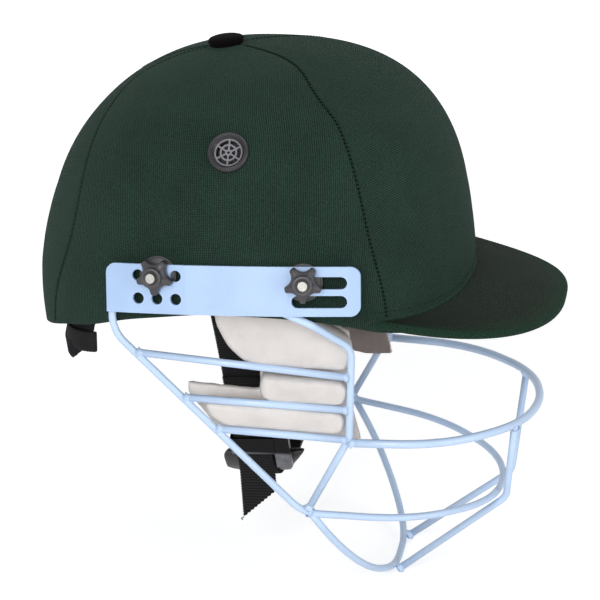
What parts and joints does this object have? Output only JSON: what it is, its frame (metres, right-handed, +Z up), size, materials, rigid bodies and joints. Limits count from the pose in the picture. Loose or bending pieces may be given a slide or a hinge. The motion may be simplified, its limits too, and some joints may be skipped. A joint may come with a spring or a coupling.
{
  "type": "cricket helmet",
  "caption": "Cloth-covered cricket helmet with a peak, a welded wire face guard on side plates held by star knobs, cheek pads, a chin strap and a nape cradle.",
  "frame": {"origin": "middle of the head opening, at the level of the rim over the ears", "axes": "+X forward to the peak, +Y to the wearer's left, +Z up"},
  "size_m": [0.2931, 0.2326, 0.3099],
  "materials": {
    "shell_plastic": "moulded, semi-matt",
    "cover_cloth": "fine knitted polyester, slight sheen",
    "peak_cloth": "fine knitted polyester over a stiff peak",
    "button_cloth": "cloth-covered button",
    "guard_steel": "pale blue powder coat, semi-gloss",
    "stud_steel": "zinc-plated steel",
    "knob_plastic": "moulded nylon, fine grain",
    "vent_plastic": "moulded plastic",
    "rubber_black": "moulded rubber",
    "pad_leather": "off-white synthetic leather over foam",
    "pad_backing": "cloth-covered foam board",
    "liner_foam": "padded liner cloth over foam",
    "webbing": "ribbed woven webbing",
    "cup_leather": "soft dark leather",
    "slider_plastic": "grey moulded plastic"
  },
  "bodies": {
    "helmet": {"brow_pad": "liner_foam", "chin_wire": "guard_steel", "cover_front_panel": "cover_cloth", "cover_left_panel": "cover_cloth", "cover_rear_panel": "cover_cloth", "cover_right_panel": "cover_cloth", "crown_button": "button_cloth", "crown_pad": "liner_foam", "fixing_studs": "stud_steel", "left_centre_strut": "guard_steel", "left_cheek_bar_lower": "guard_steel", "left_cheek_bar_middle": "guard_steel", "left_cheek_bar_upper": "guard_steel", "left_cheek_pad_backing": "pad_backing", "left_cheek_pad_lower": "pad_leather", "left_cheek_pad_middle": "pad_leather", "left_cheek_pad_upper": "pad_leather", "left_ear_pad": "liner_foam", "left_front_bar": "guard_steel", "left_side_plate": "guard_steel", "lower_face_wire": "guard_steel", "nape_rivets": "stud_steel", "outer_shell": "shell_plastic", "peak_core": "shell_plastic", "peak_cover": "peak_cloth", "plate_spacers": "rubber_black", "rear_pad": "liner_foam", "right_centre_strut": "guard_steel", "right_cheek_bar_lower": "guard_steel", "right_cheek_bar_middle": "guard_steel", "right_cheek_bar_upper": "guard_steel", "right_cheek_pad_backing": "pad_backing", "right_cheek_pad_lower": "pad_leather", "right_cheek_pad_middle": "pad_leather", "right_cheek_pad_upper": "pad_leather", "right_ear_pad": "liner_foam", "right_front_bar": "guard_steel", "right_side_plate": "guard_steel", "side_vents": "vent_plastic", "strap_hangers": "webbing", "strap_rivets": "stud_steel", "stud_washers": "stud_steel", "upper_face_wire": "guard_steel", "vent_retainers": "vent_plastic"},
    "right_rear_knob": {"right_rear_knob": "knob_plastic", "right_rear_knob_nut": "stud_steel"},
    "right_front_knob": {"right_front_knob": "knob_plastic", "right_front_knob_nut": "stud_steel"},
    "left_rear_knob": {"left_rear_knob": "knob_plastic", "left_rear_knob_nut": "stud_steel"},
    "left_front_knob": {"left_front_knob": "knob_plastic", "left_front_knob_nut": "stud_steel"},
    "chin_harness": {"chin_strap": "webbing", "chin_cup": "cup_leather", "strap_tail": "webbing"},
    "strap_slider": {"strap_slider": "slider_plastic"},
    "nape_cradle": {"nape_cradle": "liner_foam", "nape_strap": "webbing"}
  },
  "joints": [
    {"name": "right_rear_knob_turn", "type": "hinge", "parent": "helmet", "child": "right_rear_knob", "pos_m": [-0.03717, -0.10524, 0.02183], "axis": [-0.105, -0.98, 0.1688], "continuous": true},
    {"name": "right_front_knob_turn", "type": "hinge", "parent": "helmet", "child": "right_front_knob", "pos_m": [0.04144, -0.10538, 0.02224], "axis": [0.1207, -0.9768, 0.1769], "continuous": true},
    {"name": "left_rear_knob_turn", "type": "hinge", "parent": "helmet", "child": "left_rear_knob", "pos_m": [-0.03717, 0.10524, 0.02183], "axis": [-0.105, 0.98, 0.1688], "continuous": true},
    {"name": "left_front_knob_turn", "type": "hinge", "parent": "helmet", "child": "left_front_knob", "pos_m": [0.04144, 0.10538, 0.02224], "axis": [0.1207, 0.9768, 0.1769], "continuous": true},
    {"name": "chin_harness_swing", "type": "hinge", "parent": "helmet", "child": "chin_harness", "pos_m": [-0.007, 0, 0.014], "axis": [0, 1, 0], "range_deg": [-15, 18]},
    {"name": "strap_slider_slide", "type": "slide", "parent": "chin_harness", "child": "strap_slider", "axis": [-0.0617, -0.3642, 0.9293], "range_m": [0, 0.025]},
    {"name": "nape_cradle_tilt", "type": "hinge", "parent": "helmet", "child": "nape_cradle", "pos_m": [-0.066, 0, 0], "axis": [0, 1, 0], "range_deg": [-10, 3]}
  ]
}
